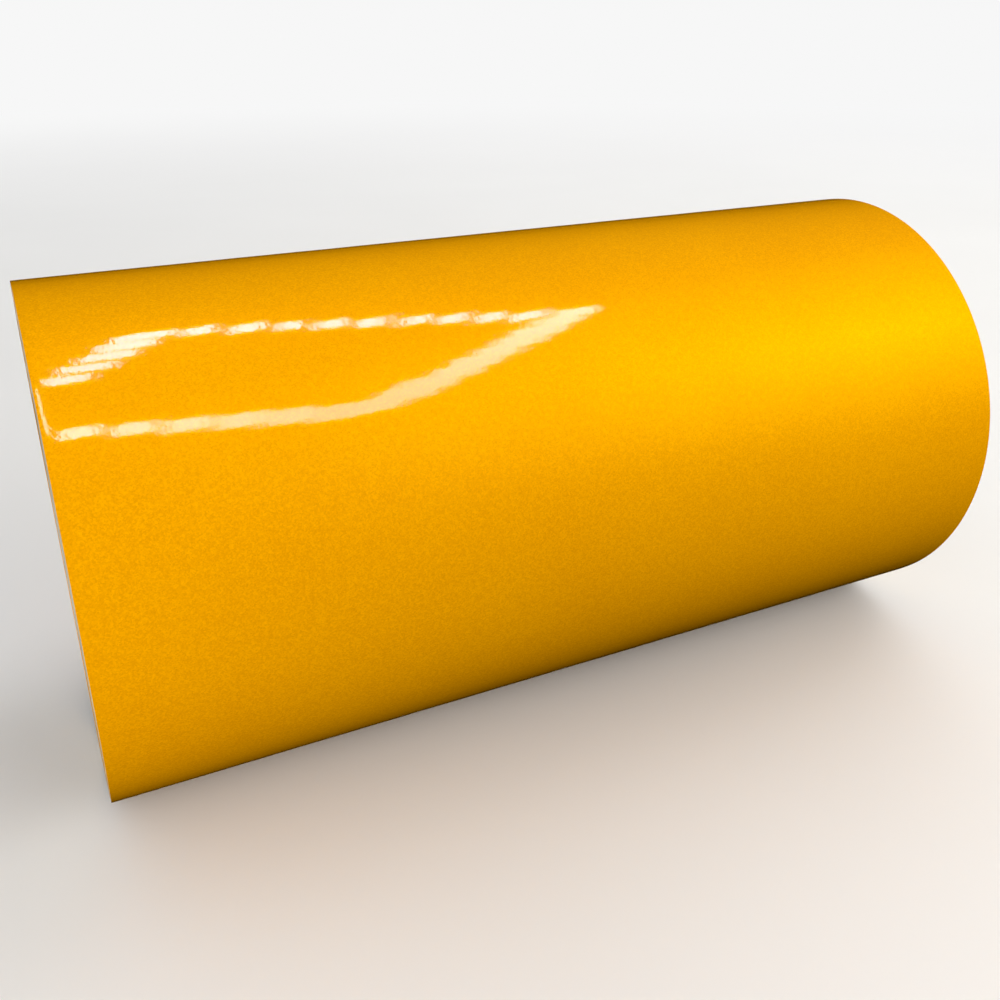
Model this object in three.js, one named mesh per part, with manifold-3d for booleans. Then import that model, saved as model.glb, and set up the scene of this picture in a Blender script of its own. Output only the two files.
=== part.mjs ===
// A roll of self-adhesive sign vinyl: a spiral-wound board core, and one long web wound on it with the
// coloured film outwards. The web is a laminate of three layers: a paper release liner on the inside, a
// coat of adhesive, and the film. Its free end, the tail, lifts off the roll, and the film peels off the liner.
//
// Millimetres, +Z up. The roll lies along X and the origin is the middle of its axis.
// The web's sections are drawn in the XY plane and extruded, and the exported group turns that plane upright.

import * as THREE from 'three';
import { mergeVertices } from 'three/addons/utils/BufferGeometryUtils.js';
import Module from 'manifold-3d';

const wasm = await Module();
wasm.setup();

// ---- Driving dimensions ----------------------------------------------------------------------------

const ROLL_WIDTH = 305; // slit width of the web
const BORE_RADIUS = 38.1; // 3 inch core

// The core's plies, from the bore outwards. Its wall is their sum.
const COVER_PLY = 0.6;
const BODY_PLY = 1.6;
const BODY_PLIES = 3;
const GLUE_LINE = 0.04; // left free on the outside of each ply
const CORE_LENGTH = 304;
const PLY_LEAD = 147; // how far a cover ply's strip advances in one turn
const PLY_SEAM = 0.5; // gap between neighbouring turns of the strip

// The web's layers, from the core outwards.
const LINER = 0.13;
const ADHESIVE = 0.03;
const FILM = 0.1;
const AIR = 0.01; // left free on the outside of each layer

// The whole roll is faceted on the same radial lines, so thin layers lie parallel and never cross.
const FACETS = 72;
const WHOLE_TURNS = 118;
const EXTRA_FACETS = 30; // the web ends this far past its last whole turn
const TAIL_END = 2; // the facet line of the tail's free edge: line 0 is just above the rear horizon

// The tail, measured in facets back from the free edge.
const LIFT_LINE = 9; // where the web bends away from the roll
const PEEL_LINE = 6; // where the film bends away from its liner
const HINGE_GAP = 0.03; // facets
const LAP_GAP = 0.05; // facets between a single lap and the wound turns that it carries on from

const START_CLEARANCE = 0.15; // between the core and the first lap, where the starting tape lies
const TAPE = { thickness: 0.08, length: 50, facets: 5, spacing: 118, clearance: 0.02 };
const TAB = { thickness: 0.05, width: 24, onTail: 2.5, onRoll: 1.8, clearance: 0.02, offCentre: 92 };
const LABEL = { thickness: 0.1, length: 60, facets: 9, fromLine: 49, fromEnd: 8, clearance: 0.03 };

// ---- Worked out from those -------------------------------------------------------------------------

const CORE_WALL = 2 * COVER_PLY + BODY_PLIES * BODY_PLY;
const CORE_RADIUS = BORE_RADIUS + CORE_WALL;
const WEB_START_RADIUS = CORE_RADIUS + START_CLEARANCE;
const PITCH = LINER + ADHESIVE + FILM + 3 * AIR;
const ADHESIVE_AT = LINER + AIR;
const FILM_AT = ADHESIVE_AT + ADHESIVE + AIR;
const FILM_TOP = FILM_AT + FILM;
const WEB_END = WHOLE_TURNS * FACETS + EXTRA_FACETS; // web positions are counted in facets from the core
const LIFT_AT = WEB_END - LIFT_LINE;
const PEEL_AT = WEB_END - PEEL_LINE;

// ---- Materials -------------------------------------------------------------------------------------

const finish = (color, roughness, metalness = 0) =>
  new THREE.MeshStandardMaterial({ color, roughness, metalness });

const FILM_FINISH = finish('#f5a600', 0.2, 0.3);
const ADHESIVE_FINISH = finish('#d9d3bd', 0.5);
const LINER_FINISH = finish('#f1f0ea', 0.7);
const BOARD_FINISH = finish('#a98e6b', 0.9);
const TAPE_FINISH = finish('#e9dfb4', 0.5);
const LABEL_FINISH = finish('#fafafa', 0.6);

// ---- Drawing ---------------------------------------------------------------------------------------

// A point of the section, on a facet line and at a radius. One facet faces straight down.
const polar = (line, radius) => {
  const angle = ((line + 0.5) * 2 * Math.PI) / FACETS;
  return new THREE.Vector2(radius * Math.cos(angle), radius * Math.sin(angle));
};

// A point on the wound web, this far outside its inner face. Between two facet lines it lies on the flat.
function webPoint(position, offset) {
  const corner = (p) => polar(TAIL_END + WEB_END - p, WEB_START_RADIUS + (PITCH * p) / FACETS + offset);
  const whole = Math.floor(position);
  return corner(whole).lerp(corner(whole + 1), position - whole);
}

// The places from one to another: both ends, and each facet line between them.
function positions(from, to) {
  const list = [from];
  for (let p = Math.floor(from) + 1; p < to; p++) list.push(p);
  return [...list, to];
}

const webLine = (from, to, offset) => positions(from, to).map((p) => webPoint(p, offset));

const ring = (radius) => positions(0, FACETS - 1).map((line) => polar(line, radius));

// A section extruded along the roll's axis, from x0 for this length.
function extruded(shape, length, x0 = -length / 2) {
  const geometry = new THREE.ExtrudeGeometry(shape, { depth: length, bevelEnabled: false });
  return geometry.translate(0, 0, x0);
}

function piece(name, geometry, material) {
  const mesh = new THREE.Mesh(geometry, material);
  mesh.name = name;
  return mesh;
}

// One layer of the web, full width.
function webLayer(name, from, to, offset, thickness, material) {
  const outline = [...webLine(from, to, offset), ...webLine(from, to, offset + thickness).reverse()];
  return piece(name, extruded(new THREE.Shape(outline), ROLL_WIDTH), material);
}

const linerLayer = (name, from, to) => webLayer(name, from, to, 0, LINER, LINER_FINISH);
const adhesiveLayer = (name, from, to) => webLayer(name, from, to, ADHESIVE_AT, ADHESIVE, ADHESIVE_FINISH);
const filmLayer = (name, from, to) => webLayer(name, from, to, FILM_AT, FILM, FILM_FINISH);

// ---- Solids ----------------------------------------------------------------------------------------

function toSolid(geometry) {
  const bare = geometry.clone();
  bare.deleteAttribute('normal');
  bare.deleteAttribute('uv');
  const merged = mergeVertices(bare);
  const mesh = new wasm.Mesh({
    numProp: 3,
    vertProperties: merged.attributes.position.array,
    triVerts: new Uint32Array(merged.index.array),
  });
  return new wasm.Manifold(mesh);
}

function toGeometry(solid) {
  const { vertProperties, triVerts } = solid.getMesh();
  return new THREE.BufferGeometry()
    .setAttribute('position', new THREE.BufferAttribute(new Float32Array(vertProperties), 3))
    .setIndex(new THREE.BufferAttribute(new Uint32Array(triVerts), 1));
}

// ---- Core ------------------------------------------------------------------------------------------

function bodyPly(number, inner) {
  const shape = new THREE.Shape(ring(inner + BODY_PLY - GLUE_LINE));
  shape.holes.push(new THREE.Path(ring(inner)));
  return piece(`core_body_ply_${number}`, extruded(shape, CORE_LENGTH), BOARD_FINISH);
}

// A flat strip of board, as long as it has facets, bent into a helix and cut square at the core's ends.
function coverPly(name, inner, firstLine) {
  const facets = Math.ceil((CORE_LENGTH / PLY_LEAD + 1) * FACETS);
  const thickness = COVER_PLY - GLUE_LINE;
  const strip = new THREE.BoxGeometry(facets, thickness, PLY_LEAD - PLY_SEAM, facets, 1, 1);
  const corners = strip.attributes.position;
  for (let i = 0; i < corners.count; i++) {
    const along = corners.getX(i) + facets / 2;
    const { x, y } = polar(firstLine + along, inner + thickness / 2 + corners.getY(i));
    const advance = (PLY_LEAD * (along - facets / 2)) / FACETS;
    corners.setXYZ(i, x, y, advance - corners.getZ(i));
  }
  const slab = new THREE.BoxGeometry(4 * CORE_RADIUS, 4 * CORE_RADIUS, CORE_LENGTH);
  return piece(name, toGeometry(toSolid(strip).intersect(toSolid(slab))), BOARD_FINISH);
}

function core() {
  const group = new THREE.Group();
  group.add(coverPly('core_inner_ply', BORE_RADIUS, 20));
  for (let i = 0; i < BODY_PLIES; i++) group.add(bodyPly(i + 1, BORE_RADIUS + COVER_PLY + i * BODY_PLY));
  group.add(coverPly('core_outer_ply', CORE_RADIUS - COVER_PLY, 50));
  return group;
}

// A patch of tape or paper on a round face, over a run of facets.
function patch(name, fromLine, facets, inner, thickness, length, x0, material) {
  const run = positions(fromLine, fromLine + facets);
  const outline = [
    ...run.map((line) => polar(line, inner)),
    ...run.map((line) => polar(line, inner + thickness)).reverse(),
  ];
  return piece(name, extruded(new THREE.Shape(outline), length, x0), material);
}

function coreLabel() {
  const { thickness, length, facets, fromLine, fromEnd, clearance } = LABEL;
  const inner = BORE_RADIUS - clearance - thickness;
  const x0 = CORE_LENGTH / 2 - fromEnd - length;
  return patch('core_label', fromLine, facets, inner, thickness, length, x0, LABEL_FINISH);
}

// Three strips of double-sided tape hold the web's leading edge to the core.
function startTapes() {
  const { thickness, length, facets, spacing, clearance } = TAPE;
  const fromLine = TAIL_END + (WEB_END % FACETS) - facets;
  const inner = CORE_RADIUS + clearance;
  const group = new THREE.Group();
  ['left', 'middle', 'right'].forEach((side, i) => {
    const x0 = (i - 1) * spacing - length / 2;
    group.add(patch(`start_tape_${side}`, fromLine, facets, inner, thickness, length, x0, TAPE_FINISH));
  });
  return group;
}

// ---- Web -------------------------------------------------------------------------------------------

// Every turn between the first lap and the outer lap, which are modelled layer by layer.
function woundTurns() {
  const shape = new THREE.Shape(webLine(WEB_END - FACETS, WEB_END, -AIR).reverse());
  shape.holes.push(new THREE.Path(webLine(FACETS, 2 * FACETS, 0)));
  return piece('wound_turns', extruded(shape, ROLL_WIDTH), LINER_FINISH);
}

function firstLap() {
  const end = FACETS - LAP_GAP;
  const group = new THREE.Group();
  group.add(linerLayer('first_lap_liner', 0, end));
  group.add(adhesiveLayer('first_lap_adhesive', 0, end));
  group.add(filmLayer('first_lap_film', 0, end));
  return group;
}

function outerLap() {
  const start = WEB_END - FACETS + LAP_GAP;
  const end = LIFT_AT - HINGE_GAP / 2;
  const group = new THREE.Group();
  group.add(linerLayer('outer_lap_liner', start, end));
  group.add(adhesiveLayer('outer_lap_adhesive', start, end));
  group.add(filmLayer('outer_lap_film', start, end));
  return group;
}

// ---- Tail ------------------------------------------------------------------------------------------

// The liner of the whole tail, with the film that stays on it as far as the peel line.
function liftingTail() {
  const start = LIFT_AT + HINGE_GAP / 2;
  const peel = PEEL_AT - HINGE_GAP / 2;
  const group = new THREE.Group();
  group.add(linerLayer('tail_liner', start, WEB_END));
  group.add(adhesiveLayer('tail_root_adhesive', start, peel));
  group.add(filmLayer('tail_root_film', start, peel));
  return group;
}

// A tab of clear tape over the free edge: on the tail's film, down the step, and on to the lap below.
function tailTab(name, x0) {
  const onLapBelow = FILM_TOP - PITCH;
  const step = { from: WEB_END + 0.06, to: WEB_END + 0.25 };
  const underside = [
    ...positions(WEB_END - TAB.onTail, step.from).map((p) => [p, FILM_TOP]),
    ...positions(step.to, WEB_END + TAB.onRoll).map((p) => [p, onLapBelow]),
  ];
  const face = (rise) => underside.map(([p, offset]) => webPoint(p, offset + TAB.clearance + rise));
  const outline = [...face(0), ...face(TAB.thickness).reverse()];
  return piece(name, extruded(new THREE.Shape(outline), TAB.width, x0 - TAB.width / 2), TAPE_FINISH);
}

// The film and adhesive that come off the liner, and the tabs that come away with them.
function peelingTail() {
  const start = PEEL_AT + HINGE_GAP / 2;
  const group = new THREE.Group();
  group.add(adhesiveLayer('tail_adhesive', start, WEB_END));
  group.add(filmLayer('tail_film', start, WEB_END));
  group.add(tailTab('tail_tab_left', -TAB.offCentre));
  group.add(tailTab('tail_tab_right', TAB.offCentre));
  return group;
}

// ---- The roll --------------------------------------------------------------------------------------

const roll = new THREE.Group();
roll.add(core(), coreLabel(), startTapes());
roll.add(firstLap(), woundTurns(), outerLap());
roll.add(liftingTail(), peelingTail());

// Turns the drawing's X, Y and Z to the roll's Y, Z and X.
roll.quaternion.setFromAxisAngle(new THREE.Vector3(1, 1, 1).normalize(), (2 * Math.PI) / 3);

const part = new THREE.Group();
part.add(roll);

export default part;
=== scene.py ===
import math
import random

import bmesh
import bpy
import numpy as np
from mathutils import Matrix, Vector


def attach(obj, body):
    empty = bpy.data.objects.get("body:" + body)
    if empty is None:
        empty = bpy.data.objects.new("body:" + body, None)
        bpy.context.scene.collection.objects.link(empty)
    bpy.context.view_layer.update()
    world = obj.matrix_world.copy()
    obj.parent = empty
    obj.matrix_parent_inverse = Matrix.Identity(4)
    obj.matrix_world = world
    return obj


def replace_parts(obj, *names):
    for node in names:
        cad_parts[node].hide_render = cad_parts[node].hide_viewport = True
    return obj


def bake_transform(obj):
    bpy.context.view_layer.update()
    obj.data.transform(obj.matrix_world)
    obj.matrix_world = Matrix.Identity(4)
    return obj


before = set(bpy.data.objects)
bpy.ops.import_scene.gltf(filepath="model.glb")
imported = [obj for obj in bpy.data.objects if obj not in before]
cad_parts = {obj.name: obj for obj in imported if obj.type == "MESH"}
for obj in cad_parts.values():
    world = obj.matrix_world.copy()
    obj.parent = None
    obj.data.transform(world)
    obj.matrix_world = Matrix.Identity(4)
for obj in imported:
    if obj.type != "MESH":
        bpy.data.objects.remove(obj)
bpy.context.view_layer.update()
random.seed(7)
MM = 0.001

# ---- The roll's dimensions, in millimetres ----------------------------------------------------------

HALF_WIDTH = 152.5
BORE_RADIUS = 38.1
COVER_PLY = 0.56
BODY_PLIES = [(38.7, 40.26), (40.3, 41.86), (41.9, 43.46)]  # inner and outer radius
OUTER_COVER = 43.5
CORE_HALF = 152.0
BROKEN_EDGE = 0.12  # chamfer of the core's cut edges
SAW_MARKS = 0.06  # how uneven the core's cut ends are
PLY_LEAD = 147.0
LINING_SEAM = 0.9
COVER_SEAM = 0.5

WEB_START = 44.25
LINER = 0.13
ADHESIVE_AT = 0.14
FILM_TOP = 0.28
PITCH = 0.29
TURNS = 118 + 30 / 72
TAIL_DEG = 12.5  # the free edge
LIFT_DEG = 57.5  # where the web bends away from the roll
PEEL_DEG = 42.5  # where the film bends away from its liner
EDGE_DROOP = 0.07  # how far the web's slit edges curl down
EDGE_REACH = 0.9  # how far in from the edge the curl reaches

EDGE_SET_BACK = 0.12  # how far the wound turns' edges sit back from the outer lap's
FILM_STEP = 0.07  # how far the film's edge sits back from its liner's
EDGE_ROUGHNESS = 0.008
RIM_SET_BACK = 0.2
RIM_CLEARANCE = 0.012  # from the last wound turn to the lap over it

TAB_CENTRE = 92.0
TAB_HALF_WIDTH = 12.0
TAB_CLEARANCE = 0.015
TAB_THICKNESS = 0.05
TAB_TOOTH = 0.09  # depth of the cut ends' teeth, in facets of the CAD

STICKER = (37.93, 38.05)  # inner and outer radius, just off the bore's wall
STICKER_PRINT = (37.895, 37.92)
STICKER_START = 84.0
STICKER_END = 144.0
BAR_START = 88.0
BAR_END = 138.0

# ---- How finely the meshes are divided --------------------------------------------------------------

SMOOTH_BELOW_DEG = 40.0  # faces that meet at less than this are shaded as one
WEB_CELLS = 100
LAP_STEP_DEG = 1.25
TAIL_STEP_DEG = 0.75
TUBE_STEPS = 192
HELIX_STEPS = 144  # points around one turn of a core's cover ply
HELIX_CELLS = 24
END_RINGS = 3  # rings of points across one turn's edge
END_STEPS = 128  # points around one turn

# ---- The web's shape --------------------------------------------------------------------------------


def turn_at(deg):
    """Turns wound up to a place in the outer lap. The web is wound outwards with the angle decreasing."""
    return TURNS - (deg - TAIL_DEG) / 360


def web_radius(turns):
    return WEB_START + PITCH * turns


def gauge(x, turns):
    """How far the web stands up. x is in mm.

    It has faint bands round the roll and a little slackness, and its slit edges droop.
    """
    bands = 0.010 * np.sin(x / 7.1 + 0.6) + 0.008 * np.sin(x / 3.3) * np.sin(x / 41.0)
    slack = 0.030 * np.sin(2 * math.pi * turns * 2 + 0.4) * np.cos(x / 88.0)
    slack = slack + 0.018 * np.sin(2 * math.pi * turns * 5 + x / 60.0)
    droop = EDGE_DROOP * np.exp((np.abs(x) - HALF_WIDTH) / EDGE_REACH)
    return bands + slack - droop


def wander(turns):
    """How far each turn sits along the axis from flush, from the slitter's wander."""
    slow = 0.09 * np.sin(turns / 3.1) + 0.06 * np.sin(turns / 1.27 + 1.0)
    fine = 0.035 * np.sin(turns * 2.9 + 0.4) + 0.025 * np.sin(turns * 6.3)
    return slow + fine


# ---- Mesh building ----------------------------------------------------------------------------------


def linked(name, mesh):
    """A new object of this mesh, in the scene."""
    obj = bpy.data.objects.new(name, mesh)
    bpy.context.scene.collection.objects.link(obj)
    return obj


def new_object(name, verts, faces, slots):
    """A closed object from points in millimetres. slots gives the material index of each face."""
    mesh = bpy.data.meshes.new(name)
    mesh.from_pydata((np.asarray(verts) * MM).tolist(), [], faces)
    mesh.polygons.foreach_set("material_index", np.asarray(slots, np.int32))
    work = bmesh.new()
    work.from_mesh(mesh)
    bmesh.ops.remove_doubles(work, verts=work.verts, dist=1e-7)
    bmesh.ops.recalc_face_normals(work, faces=work.faces)
    work.to_mesh(mesh)
    work.free()
    mesh.polygons.foreach_set("use_smooth", np.ones(len(mesh.polygons), bool))
    mesh.set_sharp_from_angle(angle=math.radians(SMOOTH_BELOW_DEG))
    return linked(name, mesh)


def shell(name, theta, x, inner, outer, slots=(0, 0, 0)):
    """A closed sheet over a grid of angles and places along X.

    The arrays are [angle, x], and inner and outer are radii. slots are the material indices of the
    outer face, the inner face and the edges.
    """
    theta, x, inner, outer = np.broadcast_arrays(theta, x, inner, outer)
    rows, cols = theta.shape
    count = rows * cols
    layers = []
    for r in (outer, inner):
        layers.append(np.stack([x, r * np.cos(theta), r * np.sin(theta)], -1).reshape(-1, 3))
    faces, which = [], []
    for i in range(rows - 1):
        for j in range(cols - 1):
            a = i * cols + j
            quad = (a, a + 1, a + cols + 1, a + cols)
            faces.append(quad)
            faces.append(tuple(v + count for v in reversed(quad)))
            which += slots[:2]
    rim = [i * cols for i in range(rows)]
    rim += [(rows - 1) * cols + j for j in range(1, cols)]
    rim += [i * cols + cols - 1 for i in range(rows - 2, -1, -1)]
    rim += list(range(cols - 2, 0, -1))
    for a, b in zip(rim, rim[1:] + rim[:1]):
        faces.append((a, b, b + count, a + count))
        which.append(slots[2])
    return new_object(name, np.concatenate(layers), faces, which)


def across_web():
    """Places across the web, closer together where its edges curl."""
    inner = np.linspace(-HALF_WIDTH + 3.0, HALF_WIDTH - 3.0, WEB_CELLS + 1)
    edge = HALF_WIDTH - np.array([0.0, 0.3, 0.7, 1.2, 2.0])
    return np.concatenate([-edge, inner, edge[::-1]])


def web_piece(name, from_deg, to_deg, low, high, step, slots):
    """One or more layers of the outer lap, between two angles. from_deg is nearer the core's end."""
    count = max(2, int(round((from_deg - to_deg) / step)) + 1)
    deg = np.linspace(from_deg, to_deg, count)
    x = across_web()
    turns = turn_at(deg)[:, None]
    base = web_radius(turns) + gauge(x[None, :], turns)
    return shell(name, np.radians(deg)[:, None], x[None, :], base + low, base + high, slots)


# ---- Materials --------------------------------------------------------------------------------------


class Nodes:
    """A material's node tree, with short calls for the nodes used here."""

    def __init__(self, name):
        self.material = bpy.data.materials.new(name)
        self.material.use_nodes = True
        self.tree = self.material.node_tree
        self.shader = self.tree.nodes["Principled BSDF"]
        coords = self.tree.nodes.new("ShaderNodeTexCoord")
        self.coords = coords.outputs["Object"]

    def connect(self, socket, value):
        """Gives an input a constant, or links it where the value is another node's output."""
        if isinstance(value, bpy.types.NodeSocket):
            self.tree.links.new(value, socket)
        else:
            socket.default_value = value

    def set(self, **values):
        """Sets the shader's inputs. A keyword is the input's name with _ for each space."""
        for key, value in values.items():
            name = key.replace("_", " ").title().replace("Ior", "IOR")
            self.connect(self.shader.inputs[name], value)

    def node(self, kind, links=(), **settings):
        made = self.tree.nodes.new(kind)
        for key, value in settings.items():
            setattr(made, key, value)
        for socket, value in links:
            self.connect(made.inputs[socket], value)
        return made

    def scaled(self, scale):
        links = [("Vector", self.coords), ("Scale", scale)]
        return self.node("ShaderNodeMapping", links).outputs["Vector"]

    def noise(self, scale, detail=3.0, roughness=0.55, vector=None):
        links = [("Vector", vector or self.coords), ("Scale", scale)]
        links += [("Detail", detail), ("Roughness", roughness)]
        return self.node("ShaderNodeTexNoise", links).outputs["Fac"]

    def ramp(self, fac, *stops):
        made = self.node("ShaderNodeValToRGB", [("Fac", fac)])
        ramp = made.color_ramp
        while len(ramp.elements) < len(stops):
            ramp.elements.new(0.5)
        for element, (place, color) in zip(ramp.elements, stops):
            element.position = place
            element.color = color
        return made.outputs["Color"]

    def multiply(self, a, b):
        made = self.node("ShaderNodeMix", data_type="RGBA", blend_type="MULTIPLY")
        for index, value in ((0, 1.0), (6, a), (7, b)):
            self.connect(made.inputs[index], value)
        return made.outputs[2]

    def bump(self, height, strength, distance, under=None):
        links = [("Height", height), ("Strength", strength), ("Distance", distance)]
        if under is not None:
            links.append(("Normal", under))
        return self.node("ShaderNodeBump", links).outputs["Normal"]


def rgb(r, g, b):
    return (r, g, b, 1.0)


def grey(level):
    return rgb(level, level, level)


BACKDROP = 0.93  # brightness of the backdrop, which the floor fades into


def film_material():
    """Golden film: fine flake and grain under a smooth coat with a little ripple."""
    m = Nodes("film_gold")
    flake = m.node("ShaderNodeTexVoronoi", [("Vector", m.coords), ("Scale", 2600.0)]).outputs["Color"]
    sparkle = m.node("ShaderNodeSeparateColor", [("Color", flake)]).outputs[0]
    grain = m.noise(1900.0, 1.0)
    cloud = m.noise(14.0, 2.0)
    base = m.ramp(cloud, (0.3, rgb(0.94, 0.395, 0.0)), (0.7, rgb(0.97, 0.42, 0.0)))
    dull = rgb(0.90, 0.86, 0.8)
    bright = rgb(1.05, 1.10, 1.1)
    speck = m.ramp(sparkle, (0.0, dull), (0.6, grey(0.98)), (1.0, bright))
    grained = m.ramp(grain, (0.25, rgb(0.95, 0.935, 0.9)), (0.75, rgb(1.035, 1.05, 1.0)))
    tinted = m.multiply(m.multiply(base, speck), grained)
    links = [(0, sparkle), (1, 0.12), (2, 0.30)]
    tone = m.node("ShaderNodeMath", links, operation="MULTIPLY_ADD").outputs[0]
    m.set(base_color=tinted, metallic=0.08, roughness=tone, specular_ior_level=0.0)
    m.set(coat_weight=1.0, coat_roughness=0.03, coat_ior=1.6)
    peel = m.noise(760.0, 2.5, 0.6)
    ripple = m.noise(110.0, 1.0, 0.5)
    flat = m.bump(ripple, 0.05, 0.0006)
    fine = m.bump(peel, 0.16, 0.00009, flat)
    m.set(coat_normal=fine, normal=flat)
    return m.material


def film_edge_material():
    m = Nodes("film_edge")
    noise = m.noise(260.0, 3.0)
    color = m.ramp(noise, (0.3, rgb(0.84, 0.40, 0.004)), (0.7, rgb(0.93, 0.48, 0.012)))
    m.set(base_color=color, roughness=0.45, normal=m.bump(noise, 0.2, 0.0002))
    return m.material


def adhesive_material():
    m = Nodes("adhesive")
    noise = m.noise(180.0, 4.0)
    color = m.ramp(noise, (0.3, rgb(0.50, 0.47, 0.40)), (0.7, rgb(0.62, 0.58, 0.49)))
    m.set(base_color=color, roughness=0.32, normal=m.bump(noise, 0.3, 0.0002))
    return m.material


def liner_material():
    m = Nodes("liner_paper")
    fibre = m.noise(9.0, 5.0, 0.65, m.scaled((30.0, 60.0, 60.0)))
    cloud = m.noise(30.0, 3.0)
    color = m.ramp(fibre, (0.3, rgb(0.76, 0.75, 0.70)), (0.7, rgb(0.86, 0.85, 0.81)))
    shade = m.ramp(cloud, (0.3, grey(0.94)), (0.7, grey(1.0)))
    m.set(base_color=m.multiply(color, shade), roughness=0.5, coat_weight=0.25, coat_roughness=0.3)
    m.set(normal=m.bump(fibre, 0.25, 0.0001))
    return m.material


def liner_edge_material():
    m = Nodes("liner_edge")
    noise = m.noise(300.0, 3.0)
    color = m.ramp(noise, (0.3, rgb(0.70, 0.69, 0.60)), (0.7, rgb(0.80, 0.79, 0.71)))
    m.set(base_color=color, roughness=0.8, normal=m.bump(noise, 0.25, 0.0002))
    return m.material


def board_material(name, light, dark, lay):
    """Kraft board with its fibres laid along the winding. lay is the fibre direction's stretch."""
    m = Nodes(name)
    fibre = m.noise(7.0, 6.0, 0.7, m.scaled(lay))
    speck = m.noise(600.0, 2.0)
    cloud = m.noise(22.0, 3.0)
    color = m.ramp(fibre, (0.3, dark), (0.72, light))
    dark_fleck = rgb(0.72, 0.7, 0.68)
    light_fleck = rgb(1.14, 1.12, 1.08)
    flecks = m.ramp(speck, (0.32, dark_fleck), (0.5, grey(1.0)), (0.72, light_fleck))
    shade = m.ramp(cloud, (0.3, grey(0.88)), (0.7, rgb(1.06, 1.05, 1.04)))
    mixed = m.multiply(m.multiply(color, flecks), shade)
    m.set(base_color=mixed, roughness=0.88, normal=m.bump(fibre, 0.5, 0.0004))
    return m.material


def tape_material():
    """Clear tape with faint streaks round the roll and small bubbles under it."""
    m = Nodes("clear_tape")
    streak = m.noise(18.0, 4.0, 0.6, m.scaled((40.0, 4.0, 4.0)))
    bubbles = m.noise(420.0, 2.0)
    color = m.ramp(streak, (0.3, rgb(0.95, 0.72, 0.22)), (0.7, rgb(1.0, 0.82, 0.34)))
    m.set(base_color=color, roughness=m.ramp(streak, (0.3, grey(0.10)), (0.7, grey(0.22))))
    m.set(alpha=m.ramp(bubbles, (0.5, grey(0.13)), (0.72, grey(0.24))))
    m.set(normal=m.bump(streak, 0.2, 0.0001))
    return m.material


def label_material():
    m = Nodes("label_paper")
    fibre = m.noise(240.0, 4.0)
    color = m.ramp(fibre, (0.3, rgb(0.80, 0.80, 0.78)), (0.7, rgb(0.88, 0.88, 0.87)))
    m.set(base_color=color, roughness=0.6, normal=m.bump(fibre, 0.2, 0.0001))
    return m.material


def ink_material():
    m = Nodes("label_ink")
    speck = m.noise(900.0, 2.0)
    color = m.ramp(speck, (0.35, rgb(0.03, 0.03, 0.035)), (0.75, rgb(0.10, 0.10, 0.11)))
    m.set(base_color=color, roughness=0.55)
    return m.material


def floor_material():
    """Pale paint that fades into the backdrop with distance."""
    m = Nodes("floor_paint")
    cloud = m.noise(3.0, 3.0)
    color = m.ramp(cloud, (0.3, rgb(0.83, 0.835, 0.84)), (0.7, rgb(0.86, 0.865, 0.87)))
    m.set(base_color=color, roughness=0.9)
    distance = m.node("ShaderNodeVectorMath", [(0, m.coords)], operation="LENGTH").outputs["Value"]
    span = [("Value", distance), ("From Min", 0.3), ("From Max", 2.4)]
    far = m.node("ShaderNodeMapRange", span, interpolation_type="SMOOTHSTEP").outputs["Result"]
    backdrop = m.node("ShaderNodeEmission", [("Color", grey(BACKDROP)), ("Strength", 1.0)])
    links = [(0, far), (1, m.shader.outputs[0]), (2, backdrop.outputs[0])]
    mixed = m.node("ShaderNodeMixShader", links)
    m.tree.links.new(mixed.outputs[0], m.tree.nodes["Material Output"].inputs["Surface"])
    return m.material


FILM = film_material()
FILM_EDGE = film_edge_material()
LINER_EDGE = liner_edge_material()
ADHESIVE = adhesive_material()
LINER_PAPER = liner_material()
BOARD = board_material("core_board", rgb(0.42, 0.29, 0.17), rgb(0.25, 0.16, 0.085), (10.0, 90.0, 90.0))
BOARD_COVER = board_material("cover_board", rgb(0.47, 0.33, 0.20), rgb(0.32, 0.21, 0.12), (14.0, 60.0, 60.0))
TAPE = tape_material()
LABEL = label_material()
INK = ink_material()


def paint(obj, *materials):
    """Gives obj these materials, in the order of its faces' slots."""
    if len(obj.data.materials):
        obj.data.materials.clear()
    for material in materials:
        obj.data.materials.append(material)
    return obj


# ---- Core -------------------------------------------------------------------------------------------


def tube(name, inner, outer, half):
    """A board tube with broken edges. Its cut ends are slightly uneven."""
    middle = (inner + outer) / 2
    profile = [
        (-half, inner + BROKEN_EDGE),
        (-half, middle),
        (-half, outer - BROKEN_EDGE),
        (-half + BROKEN_EDGE, outer),
        (0.0, outer),
        (half - BROKEN_EDGE, outer),
        (half, outer - BROKEN_EDGE),
        (half, middle),
        (half, inner + BROKEN_EDGE),
        (half - BROKEN_EDGE, inner),
        (0.0, inner),
        (-half + BROKEN_EDGE, inner),
    ]
    verts, faces = [], []
    size = len(profile)
    total = TUBE_STEPS * size
    for i in range(TUBE_STEPS):
        angle = 2 * math.pi * i / TUBE_STEPS
        for x, r in profile:
            cut = random.uniform(-SAW_MARKS, SAW_MARKS) if abs(x) == half else 0.0
            verts.append((x + cut, r * math.cos(angle), r * math.sin(angle)))
        for k in range(size):
            a, b = i * size + k, i * size + (k + 1) % size
            faces.append((a, b, (b + size) % total, (a + size) % total))
    return new_object(name, verts, faces, [0] * total)


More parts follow.
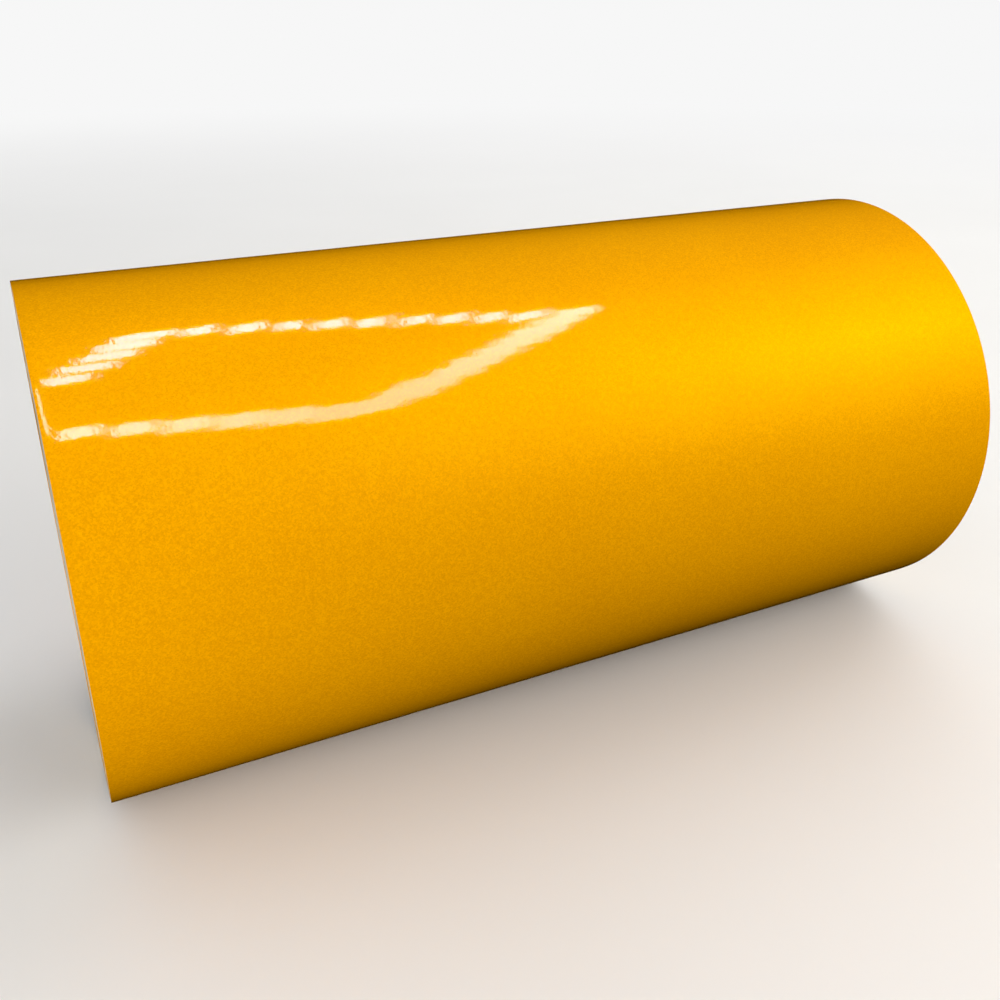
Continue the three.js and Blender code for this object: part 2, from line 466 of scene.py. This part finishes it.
def cover_ply(name, inner, first_deg, seam):
    """A strip of board wound as a helix with a butt seam, cut square at the core's ends."""
    length = 2 * CORE_HALF / PLY_LEAD + 1
    rows = int(length * HELIX_STEPS)
    turn = np.linspace(0.0, length, rows + 1)[1:-1]
    low = np.maximum(PLY_LEAD * (turn - length / 2) - (PLY_LEAD - seam) / 2, -CORE_HALF)
    high = np.minimum(PLY_LEAD * (turn - length / 2) + (PLY_LEAD - seam) / 2, CORE_HALF)
    keep = high - low > 0.4
    turn, low, high = turn[keep], low[keep], high[keep]
    x = low[:, None] + (high - low)[:, None] * np.linspace(0.0, 1.0, HELIX_CELLS + 1)[None, :]
    theta = math.radians(first_deg) + 2 * math.pi * turn
    return shell(name, theta[:, None], x, inner, inner + COVER_PLY)


def build_core():
    lining = cover_ply("core_lining", BORE_RADIUS, 102.5, LINING_SEAM)
    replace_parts(paint(lining, BOARD_COVER), "core_inner_ply")
    for number, (inner, outer) in enumerate(BODY_PLIES, 1):
        ply = tube(f"core_board_{number}", inner, outer, CORE_HALF - 0.05 * number)
        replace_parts(paint(ply, BOARD), f"core_body_ply_{number}")
        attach(ply, "roll")
    cover = cover_ply("core_cover", OUTER_COVER, 252.5, COVER_SEAM)
    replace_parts(paint(cover, BOARD_COVER), "core_outer_ply")
    for obj in (lining, cover):
        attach(obj, "roll")


def curved_patch(name, from_deg, to_deg, x0, x1, radii, cells):
    """A thin piece on the bore's wall. cells are its divisions round the bore and along it."""
    theta = np.radians(np.linspace(from_deg, to_deg, cells[0] + 1))
    x = np.linspace(x0, x1, cells[1] + 1)
    return shell(name, theta[:, None], x[None, :], *radii)


def build_label():
    """A plain sticker in the bore, printed with bars that say nothing."""
    sticker = curved_patch("core_sticker", 292.5, 247.5, STICKER_START, STICKER_END, STICKER, (48, 24))
    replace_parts(paint(sticker, LABEL), "core_label")
    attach(sticker, "roll")
    long_lines = [(288.5, 286.8, 128.0), (284.8, 283.9, 136.0), (282.4, 281.5, 122.0)]
    short_lines = [(255.5, 254.7, 118.0), (253.1, 252.3, 110.0)]
    bars = [(start, end, BAR_START, x1) for start, end, x1 in long_lines + short_lines]
    x = BAR_START
    while x < BAR_END:
        width = random.choice((0.5, 0.5, 1.0, 1.5))
        bars.append((277.5, 260.0, x, x + width))
        x += width + random.choice((0.6, 0.9, 1.3))
    for number, (start, end, x0, x1) in enumerate(bars, 1):
        bar = curved_patch(f"sticker_print_{number:02d}", start, end, x0, x1, STICKER_PRINT, (8, 2))
        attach(paint(bar, INK), "roll")


# ---- Web --------------------------------------------------------------------------------------------


def ring_points(x, r, theta):
    return np.stack([x, r * np.cos(theta), r * np.sin(theta)], -1)


def wound_pack():
    """Every turn inside the outer lap. Both ends show the edge of each turn's liner and film."""
    turns = TURNS - 1.0
    steps = round(turns * END_STEPS)
    offsets = (0.0, ADHESIVE_AT, ADHESIVE_AT + 0.015)  # the liner's edge, and then the film's a step lower
    heights = (0.0, 0.0, -FILM_STEP)
    s = np.linspace(0.0, turns, steps + 1)
    theta = math.radians(TAIL_DEG) + 2 * math.pi * (TURNS - s)
    outside = slice(steps - END_STEPS + 1, steps + 1)
    ends = []
    for side in (-1, 1):
        rough = np.random.default_rng(6 + side).normal(0.0, EDGE_ROUGHNESS, (steps + 1, END_RINGS))
        drift = wander(s + 9.0 * side)
        rings = []
        for k in range(END_RINGS):
            x = side * (HALF_WIDTH - EDGE_SET_BACK + drift + heights[k] + rough[:, k])
            rings.append(ring_points(x, web_radius(s) + offsets[k], theta))
        r = web_radius(s[outside] + 1.0) - RIM_CLEARANCE
        x = side * (HALF_WIDTH - RIM_SET_BACK + drift[outside])
        rim = ring_points(x, r, theta[outside])
        ends.append(np.concatenate([np.stack(rings, 1).reshape(-1, 3), rim]))
    count = len(ends[0])
    rim_start = (steps + 1) * END_RINGS

    def at(i, k):
        """The index of point i on ring k. The ring past the last is the next turn's first, or the rim."""
        if k < END_RINGS:
            return i * END_RINGS + k
        if i + END_STEPS <= steps:
            return (i + END_STEPS) * END_RINGS
        return rim_start + i - (steps - END_STEPS + 1)

    faces, slots = [], []
    for i in range(steps):
        for k in range(END_RINGS):
            quad = (at(i, k), at(i + 1, k), at(i + 1, k + 1), at(i, k + 1))
            faces += [quad, tuple(v + count for v in reversed(quad))]
            slots += [1 if k == END_RINGS - 1 else 0] * 2
    hole = [at(i, 0) for i in range(END_STEPS + 1)] + [at(0, 2), at(0, 1)]
    outline = [at(i, 3) for i in range(steps - END_STEPS, steps + 1)] + [at(steps, 2), at(steps, 1)]
    for loop, slot in ((hole, 2), (outline, 3)):
        for a, b in zip(loop, loop[1:] + loop[:1]):
            faces.append((a, b, b + count, a + count))
            slots.append(slot)
    obj = new_object("wound_pack", np.concatenate(ends), faces, slots)
    paint(obj, LINER_EDGE, FILM_EDGE, LINER_PAPER, FILM)
    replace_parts(obj, "wound_turns", "first_lap_liner", "first_lap_adhesive", "first_lap_film")
    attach(obj, "roll")


def film_piece(name, from_deg, to_deg, step):
    """Film with its adhesive underneath."""
    obj = web_piece(name, from_deg, to_deg, ADHESIVE_AT, FILM_TOP, step, (0, 1, 2))
    return paint(obj, FILM, ADHESIVE, FILM_EDGE)


def liner_piece(name, from_deg, to_deg, step):
    obj = web_piece(name, from_deg, to_deg, 0.0, LINER, step, (0, 0, 1))
    return paint(obj, LINER_PAPER, LINER_EDGE)


def build_lap():
    """The outermost lap, up to the line where the tail lifts."""
    start = TAIL_DEG + 360
    film = film_piece("film_lap", start, LIFT_DEG, LAP_STEP_DEG)
    liner = liner_piece("liner_lap", start, LIFT_DEG, LAP_STEP_DEG)
    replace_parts(film, "outer_lap_film", "outer_lap_adhesive")
    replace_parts(liner, "outer_lap_liner")
    for obj, under in ((liner, "wound_pack"), (film, "liner_lap")):
        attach(obj, "roll")


def build_tail():
    """The free end of the web: liner all the way, and film that parts from it at the peel line."""
    liner = liner_piece("liner_tail", LIFT_DEG, TAIL_DEG, TAIL_STEP_DEG)
    root = film_piece("film_root", LIFT_DEG, PEEL_DEG, TAIL_STEP_DEG)
    tail = film_piece("film_tail", PEEL_DEG, TAIL_DEG, TAIL_STEP_DEG)
    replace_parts(liner, "tail_liner")
    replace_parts(root, "tail_root_film", "tail_root_adhesive")
    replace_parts(tail, "tail_film", "tail_adhesive")
    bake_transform(liner)
    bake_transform(root)
    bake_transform(tail)


def build_tab(side, centre):
    """A tab of clear tape with serrated ends, from the tail's film down on to the lap below."""
    name = f"tail_tab_{side}"
    facet = 5 / 360  # turns in one facet of the CAD
    # It passes the film's edge a little, steps down in the next 0.18 of a facet, and runs on along the lap.
    on_film = np.linspace(TURNS - 2.5 * facet, TURNS + 0.04 * facet, 16)
    on_lap = np.linspace(TURNS + 0.22 * facet, TURNS + 1.8 * facet, 12)
    turns = np.concatenate([on_film, on_lap])[:, None]
    heights = [np.full(len(on_film), FILM_TOP), np.full(len(on_lap), FILM_TOP - PITCH)]
    x = np.linspace(centre - TAB_HALF_WIDTH, centre + TAB_HALF_WIDTH, 49)
    teeth = TAB_TOOTH * facet * np.where(np.arange(len(x)) % 2 == 0, 1.0, -1.0)[None, :]
    reach = np.zeros_like(turns)
    reach[0], reach[-1] = 1.0, 1.0
    turns = turns + teeth * reach
    surface = web_radius(turns) + gauge(x[None, :], turns) + np.concatenate(heights)[:, None]
    under = surface + TAB_CLEARANCE
    theta = np.radians(TAIL_DEG + 360 * (TURNS - turns))
    obj = paint(shell(name + "_tape", theta, x[None, :], under, under + TAB_THICKNESS), TAPE)
    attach(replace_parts(obj, name), "film_tail")


# ---- Room -------------------------------------------------------------------------------------------

CEILING = 2.0
HALO_LIFT = 0.002  # from a panel up to its halo
HALO_PAST_ENDS = 0.045  # how far a halo reaches past its panel's long side
HALO_PAST_SIDES = 0.006
FLOOR_AT = -(web_radius(TURNS) + 0.06) * MM
FLOOR_HALF = 40.0
GLOSS_ONLY = ("camera", "diffuse", "shadow")  # the rays that pass through what only gloss shows


def stage_quad(name, corners, material, unseen_by):
    """A flat four-sided piece of the room. unseen_by names the rays that pass through it."""
    mesh = bpy.data.meshes.new(name)
    mesh.from_pydata(corners, [], [(0, 1, 2, 3)])
    mesh.materials.append(material)
    obj = linked(name, mesh)
    for ray in unseen_by:
        setattr(obj, "visible_" + ray, False)
    return obj


def glow(name, color, strength):
    material = bpy.data.materials.new(name)
    material.use_nodes = True
    tree = material.node_tree
    tree.nodes.remove(tree.nodes["Principled BSDF"])
    emission = tree.nodes.new("ShaderNodeEmission")
    emission.inputs["Color"].default_value = rgb(*color)
    emission.inputs["Strength"].default_value = strength
    tree.links.new(emission.outputs[0], tree.nodes["Material Output"].inputs["Surface"])
    return material


def panel(name, centre, long_side, short_side, height, material):
    """A light panel, facing down. Its sides are vectors in the ceiling's plane."""
    u = Vector((*long_side, 0)) / 2
    v = Vector((*short_side, 0)) / 2
    c = Vector((*centre, height))
    stage_quad(name, [c - u - v, c - u + v, c + u + v, c + u - v], material, GLOSS_ONLY)


def lerp(a, b, t):
    return tuple(p + (q - p) * t for p, q in zip(a, b))


def longer(side, extra):
    """The same side, longer by extra at each end."""
    length = math.hypot(*side)
    return tuple(part * (length + 2 * extra) / length for part in side)


def panel_row(name, count, start, end, sides, color, strengths, halo):
    """Panels from one place to another, each in a halo on the ceiling.

    sides holds the first panel's two sides and the last one's, and strengths how bright those two are.
    """
    for i in range(count):
        t = i / (count - 1)
        place = lerp(start, end, t)
        long_side, short_side = (lerp(first, last, t) for first, last in zip(*sides))
        number = f"{i + 1:02d}"
        strength = strengths[0] + (strengths[1] - strengths[0]) * t
        material = glow(f"{name}_glow_{number}", color, strength)
        panel(f"{name}_{number}", place, long_side, short_side, CEILING, material)
        wide = longer(long_side, HALO_PAST_ENDS), longer(short_side, HALO_PAST_SIDES)
        panel(f"{name}_halo_{number}", place, *wide, CEILING + HALO_LIFT, halo)


def build_ceiling_light():
    """A four-sided loop of light panels in the ceiling, and a strip that the curled slit edge shows."""
    white = (1.0, 0.76, 0.98)
    soft = (1.0, 0.82, 0.84)
    bright = (10.9, 10.9)
    halo = glow("panel_halo", (1.0, 0.90, 0.0), 2.7)
    far = ((0.011, 0.165), (0.062, 0.027)), ((0.008, 0.155), (0.070, 0.017))
    left = ((0.003, 0.112), (0.092, 0.0)), ((0.009, 0.145), (0.130, 0.05))
    right = ((0.004, 0.135), (0.120, 0.0)), ((-0.02, 0.30), (0.15, 0.05))
    near = ((0.001, 0.173), (0.085, 0.0)), ((-0.02, 0.30), (0.12, 0.0))
    panel_row("far_panel", 9, (0.201, 0.671), (0.913, 0.055), far, white, bright, halo)
    panel_row("left_panel", 5, (-0.089, 0.040), (0.090, 0.700), left, white, bright, halo)
    panel_row("right_panel", 10, (1.030, 0.010), (0.640, -1.260), right, soft, (9.2, 5.6), halo)
    panel_row("near_panel", 6, (-0.079, -0.866), (0.510, -1.280), near, soft, (10.9, 5.4), halo)
    edge = (0.002, 0.1), (0.050, 0.0)
    panel_row("edge_panel", 8, (-0.230, -0.100), (-0.190, -0.780), (edge, edge), soft, (7.5, 7.5), halo)


def soft_card(name, place, size, color, strength):
    """A glow with soft edges that only glossy surfaces see. It faces the roll."""
    material = glow(name + "_glow", color, 0.0)
    tree = material.node_tree
    coords = tree.nodes.new("ShaderNodeTexCoord")
    falloff = tree.nodes.new("ShaderNodeTexGradient")
    falloff.gradient_type = "QUADRATIC_SPHERE"
    power = tree.nodes.new("ShaderNodeMath")
    power.operation = "MULTIPLY"
    power.inputs[1].default_value = strength
    tree.links.new(coords.outputs["Object"], falloff.inputs["Vector"])
    tree.links.new(falloff.outputs["Fac"], power.inputs[0])
    tree.links.new(power.outputs[0], tree.nodes["Emission"].inputs["Strength"])
    corners = [(-1, -1, 0), (1, -1, 0), (1, 1, 0), (-1, 1, 0)]
    obj = stage_quad(name, corners, material, GLOSS_ONLY)
    obj.location = place
    obj.rotation_euler = (-Vector(place)).to_track_quat("Z", "Y").to_euler()
    obj.scale = (size[0], size[1], 1.0)


def build_dark_strip():
    """Painted shade: a black sheet for the shaded floor right under the roll, as its gloss sees it. It hides
    the card behind from the front.
    """
    z = FLOOR_AT - 0.0005
    front, back, side = -0.15, 0.06, 0.4
    corners = [(-side, front, z), (side, front, z), (side, back, z), (-side, back, z)]
    # a black glow of strength 0, painted shade that only the roll's gloss shows
    stage_quad("dark_strip", corners, glow("painted_floor_shade", (0.0, 0.0, 0.0), 0.0), ("camera", "diffuse"))


def build_soft_cards():
    pale = (1.0, 0.98, 0.94)
    soft_card("sheen", (1.60, -1.05, 1.30), (2.3, 2.3), (1.0, 0.82, 0.0), 3.15)
    soft_card("left_card", (-1.6, -0.9, 1.7), (0.7, 1.3), pale, 7.0)
    soft_card("back_card", (0.0, 1.4, -0.78), (4.2, 0.32), pale, 11.0)
    build_dark_strip()


def build_floor():
    far = FLOOR_HALF
    z = FLOOR_AT
    corners = [(-far, -far, z), (far, -far, z), (far, far, z), (-far, far, z)]
    stage_quad("floor", corners, floor_material(), ("diffuse", "glossy"))


def build_sky():
    """An even backdrop that darkens overhead, and is dark below the horizon."""
    world = bpy.data.worlds.new("studio")
    bpy.context.scene.world = world
    world.use_nodes = True
    tree = world.node_tree
    coords = tree.nodes.new("ShaderNodeTexCoord")
    parts = tree.nodes.new("ShaderNodeSeparateXYZ")
    tree.links.new(coords.outputs["Generated"], parts.inputs[0])
    ramp = tree.nodes.new("ShaderNodeValToRGB")
    elements = ramp.color_ramp.elements
    elements.new(0.5)
    elements.new(0.75)
    sky = [(0.45, 0.01), (0.495, 1.0), (0.75, 0.86), (1.0, 0.4)]  # heights, where 0.5 is level, and greys
    for element, (place, level) in zip(elements, sky):
        element.position = place
        element.color = grey(level)
    half = tree.nodes.new("ShaderNodeMath")
    half.operation = "MULTIPLY_ADD"
    half.inputs[1].default_value = 0.5
    half.inputs[2].default_value = 0.5
    tree.links.new(parts.outputs["Z"], half.inputs[0])
    tree.links.new(half.outputs[0], ramp.inputs["Fac"])
    tree.links.new(ramp.outputs["Color"], tree.nodes["Background"].inputs["Color"])
    tree.nodes["Background"].inputs["Strength"].default_value = BACKDROP
    world.cycles_visibility.glossy = False


def area_light(name, place, target, size, power, color, spread=180):
    """A soft lamp that the roll's gloss doesn't show."""
    lamp = bpy.data.lights.new(name, "AREA")
    lamp.shape = "RECTANGLE"
    lamp.size, lamp.size_y = size
    lamp.energy = power
    lamp.spread = math.radians(spread)
    lamp.color = color
    obj = linked(name, lamp)
    obj.location = place
    obj.rotation_euler = (Vector(target) - Vector(place)).to_track_quat("-Z", "Y").to_euler()
    obj.visible_camera = False
    obj.visible_glossy = False


def build_lamps():
    warm = (1.0, 0.93, 0.85)
    low_left = (-0.19, -0.06, -0.07)
    area_light("key", (0.7, -1.1, 0.60), (0, 0, 0), (1.2, 0.8), 12.5, warm)
    area_light("fill", (-0.50, -0.62, 0.02), low_left, (0.15, 0.15), 0.06, warm, spread=25)
    area_light("rim", (1.7, 0.9, 1.7), (0, 0, 0), (2.4, 1.8), 23.0, (1.0, 0.98, 0.95))


def build_camera():
    camera = bpy.data.cameras.new("camera")
    camera.sensor_width = 36.0
    camera.lens = 38.21
    camera.shift_x = -0.0308
    camera.shift_y = -0.0554
    camera.clip_start = 0.01
    obj = linked("camera", camera)
    obj.location = (-0.15415, -0.31951, 0.15100)
    obj.rotation_euler = (math.radians(67.389), 0.0, math.radians(-26.828))
    bpy.context.scene.camera = obj
    bpy.context.scene.view_settings.view_transform = "Standard"


build_core()
build_label()
wound_pack()
build_lap()
build_tail()
build_tab("left", -TAB_CENTRE)
build_tab("right", TAB_CENTRE)
for tape in ("start_tape_left", "start_tape_middle", "start_tape_right"):
    paint(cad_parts[tape], TAPE)
build_ceiling_light()
build_soft_cards()
build_floor()
build_sky()
build_lamps()
build_camera()
